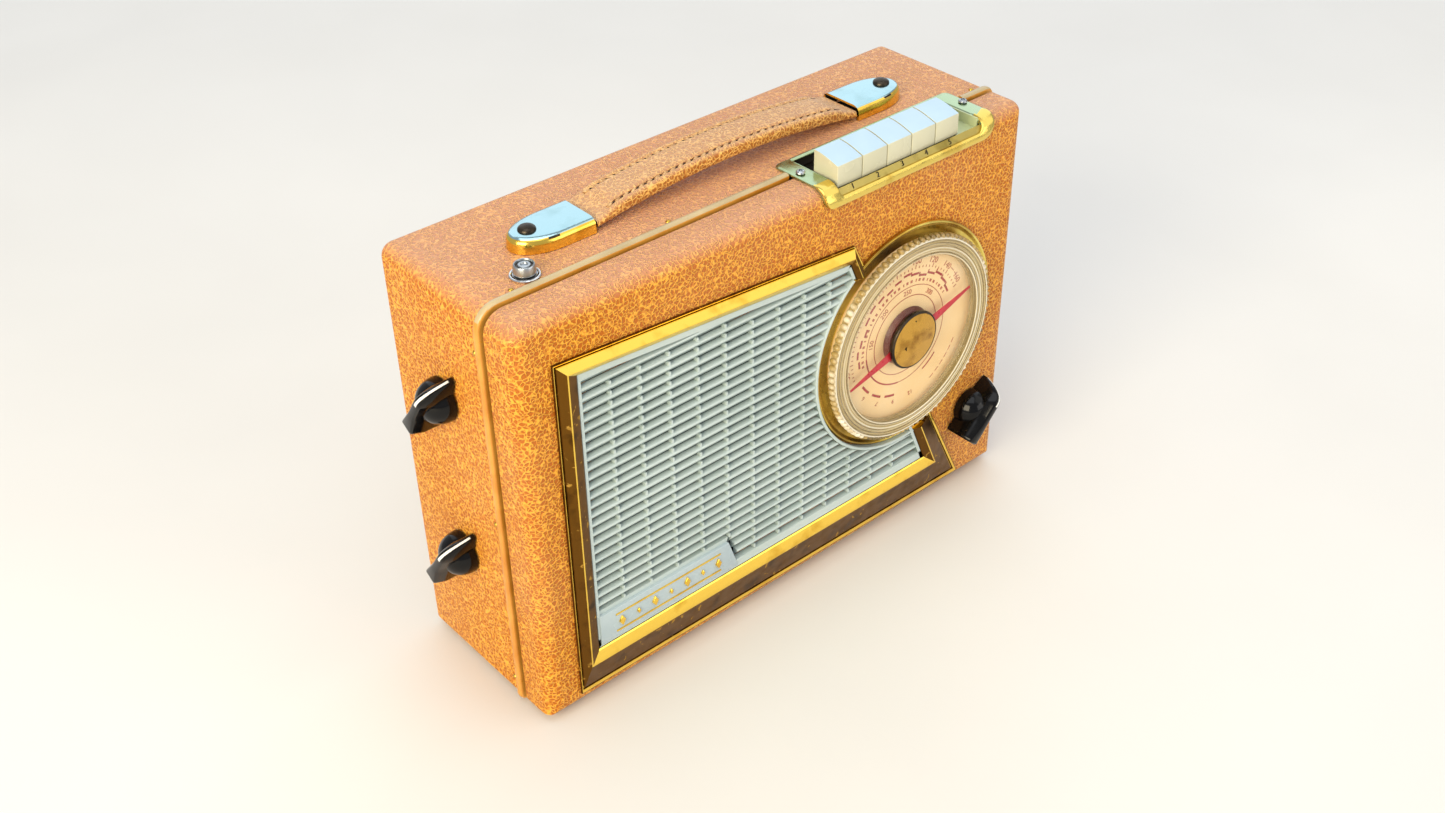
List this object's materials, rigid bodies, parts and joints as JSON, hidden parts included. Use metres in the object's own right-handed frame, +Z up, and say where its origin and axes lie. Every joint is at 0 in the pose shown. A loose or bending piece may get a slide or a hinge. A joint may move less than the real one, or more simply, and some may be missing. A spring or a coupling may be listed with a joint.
{
  "type": "transistor radio",
  "caption": "Portable transistor radio in a leatherette case, with a carrying handle, a round tuning dial, a slatted grille, band keys, pointer knobs and a telescopic aerial.",
  "frame": {"origin": "centre of the box round the whole radio, at the level that its feet stand on", "axes": "+X to the right seen from the front, along the case; +Y to the back; +Z up"},
  "size_m": [0.287, 0.1074, 0.2062],
  "materials": {
    "leatherette": "pebbled orange-tan leatherette",
    "piping": "smooth ochre piping",
    "leather": "pebbled, stitched strap leather",
    "brass": "worn gilt brass",
    "pale_brass": "pale polished brass",
    "grille_plastic": "aged pale grey moulding",
    "scale_card": "printed cream scale",
    "clear_plastic": "clear plastic, yellowed at the rim",
    "key_plastic": "ivory white",
    "black_plastic": "gloss black",
    "dark_metal": "blackened domed rivets",
    "chrome": "polished",
    "steel": "plated steel",
    "speaker_paper": "felted paper cone",
    "board": "brown laminate",
    "ferrite": "dark sintered rod",
    "battery_card": "plain card jacket",
    "rubber": "black"
  },
  "bodies": {
    "root": {"front_shell": "leatherette", "rear_shell": "leatherette", "seam_piping": "piping", "grille_frame": "brass", "dial_bezel": "brass", "handle_cap_left": "brass", "handle_cap_right": "brass", "hinge_case_leaf": "brass", "key_escutcheon": "pale_brass", "grille": "grille_plastic", "dial_scale": "scale_card", "handle_rivet_left": "dark_metal", "handle_rivet_right": "dark_metal", "aerial_ferrule": "chrome", "aerial_sleeve": "steel", "speaker_basket": "steel", "speaker_magnet": "steel", "capacitor_frame": "steel", "front_potentiometer": "steel", "volume_potentiometer": "steel", "tone_potentiometer": "steel", "escutcheon_screw_left": "steel", "escutcheon_screw_right": "steel", "key_pivot_rod": "steel", "key_switch_frame": "steel", "hinge_pin": "steel", "output_transformer": "steel", "speaker_cone": "speaker_paper", "circuit_board": "board", "ferrite_bracket": "board", "battery_tray": "board", "ferrite_aerial": "ferrite", "battery_left": "battery_card", "battery_right": "battery_card", "foot_front_left": "rubber", "foot_front_right": "rubber", "foot_rear_left": "rubber", "foot_rear_right": "rubber"},
    "tuning": {"tuning_disc": "clear_plastic", "disc_cap": "brass", "capacitor_rotor": "steel"},
    "front_control": {"front_knob": "black_plastic", "front_shaft": "steel"},
    "volume_control": {"volume_knob": "black_plastic", "volume_shaft": "steel"},
    "tone_control": {"tone_knob": "black_plastic", "tone_shaft": "steel"},
    "key_lever_1": {"key_1": "key_plastic"},
    "key_lever_2": {"key_2": "key_plastic"},
    "key_lever_3": {"key_3": "key_plastic"},
    "key_lever_4": {"key_4": "key_plastic"},
    "key_lever_5": {"key_5": "key_plastic"},
    "door": {"rear_door": "leatherette", "hinge_door_leaf": "brass"},
    "door_fastener": {"door_screw": "brass"},
    "handle": {"handle_strap": "leather"},
    "aerial_lower": {"aerial_section_1": "chrome"},
    "aerial_middle": {"aerial_section_2": "chrome"},
    "aerial_upper": {"aerial_section_3": "chrome", "aerial_tip": "chrome"}
  },
  "joints": [
    {"name": "tuning_turn", "type": "hinge", "parent": "root", "child": "tuning", "pos_m": [0.07115, -0.03852, 0.1058], "axis": [0, -1, 0], "range_deg": [-16.9, 163.1]},
    {"name": "front_turn", "type": "hinge", "parent": "root", "child": "front_control", "pos_m": [0.11785, -0.03852, 0.045], "axis": [0, -1, 0], "range_deg": [-92, 178]},
    {"name": "volume_turn", "type": "hinge", "parent": "root", "child": "volume_control", "pos_m": [-0.12835, 0.01185, 0.1408], "axis": [-1, 0, 0], "range_deg": [-101, 169]},
    {"name": "tone_turn", "type": "hinge", "parent": "root", "child": "tone_control", "pos_m": [-0.12835, 0.01185, 0.0648], "axis": [-1, 0, 0], "range_deg": [-101, 169]},
    {"name": "key_1_press", "type": "hinge", "parent": "root", "child": "key_lever_1", "pos_m": [0.0379, -0.01245, 0.1869], "axis": [1, 0, 0], "range_deg": [0, 6], "stiffness_Nm_per_rad": 0.3, "springref_deg": -2.86},
    {"name": "key_2_press", "type": "hinge", "parent": "root", "child": "key_lever_2", "pos_m": [0.052, -0.01245, 0.1869], "axis": [1, 0, 0], "range_deg": [0, 6], "stiffness_Nm_per_rad": 0.3, "springref_deg": -2.86},
    {"name": "key_3_press", "type": "hinge", "parent": "root", "child": "key_lever_3", "pos_m": [0.0661, -0.01245, 0.1869], "axis": [1, 0, 0], "range_deg": [0, 6], "stiffness_Nm_per_rad": 0.3, "springref_deg": -2.86},
    {"name": "key_4_press", "type": "hinge", "parent": "root", "child": "key_lever_4", "pos_m": [0.0802, -0.01245, 0.1869], "axis": [1, 0, 0], "range_deg": [0, 6], "stiffness_Nm_per_rad": 0.3, "springref_deg": -2.86},
    {"name": "key_5_press", "type": "hinge", "parent": "root", "child": "key_lever_5", "pos_m": [0.0943, -0.01245, 0.1869], "axis": [1, 0, 0], "range_deg": [0, 6], "stiffness_Nm_per_rad": 0.3, "springref_deg": -2.86},
    {"name": "door_swing", "type": "hinge", "parent": "root", "child": "door", "pos_m": [0.00665, 0.05132, 0.0184], "axis": [-1, 0, 0], "range_deg": [0, 85]},
    {"name": "door_screw_turn", "type": "hinge", "parent": "door", "child": "door_fastener", "pos_m": [0.00665, 0.04862, 0.1603], "axis": [0, 1, 0], "continuous": true},
    {"name": "handle_lift", "type": "slide", "parent": "root", "child": "handle", "axis": [0, 0, 1], "range_m": [0, 0.002]},
    {"name": "aerial_lower_pull", "type": "slide", "parent": "root", "child": "aerial_lower", "axis": [0, 0, 1], "range_m": [0, 0.14]},
    {"name": "aerial_middle_pull", "type": "slide", "parent": "aerial_lower", "child": "aerial_middle", "axis": [0, 0, 1], "range_m": [0, 0.135]},
    {"name": "aerial_upper_pull", "type": "slide", "parent": "aerial_middle", "child": "aerial_upper", "axis": [0, 0, 1], "range_m": [0, 0.13]}
  ]
}
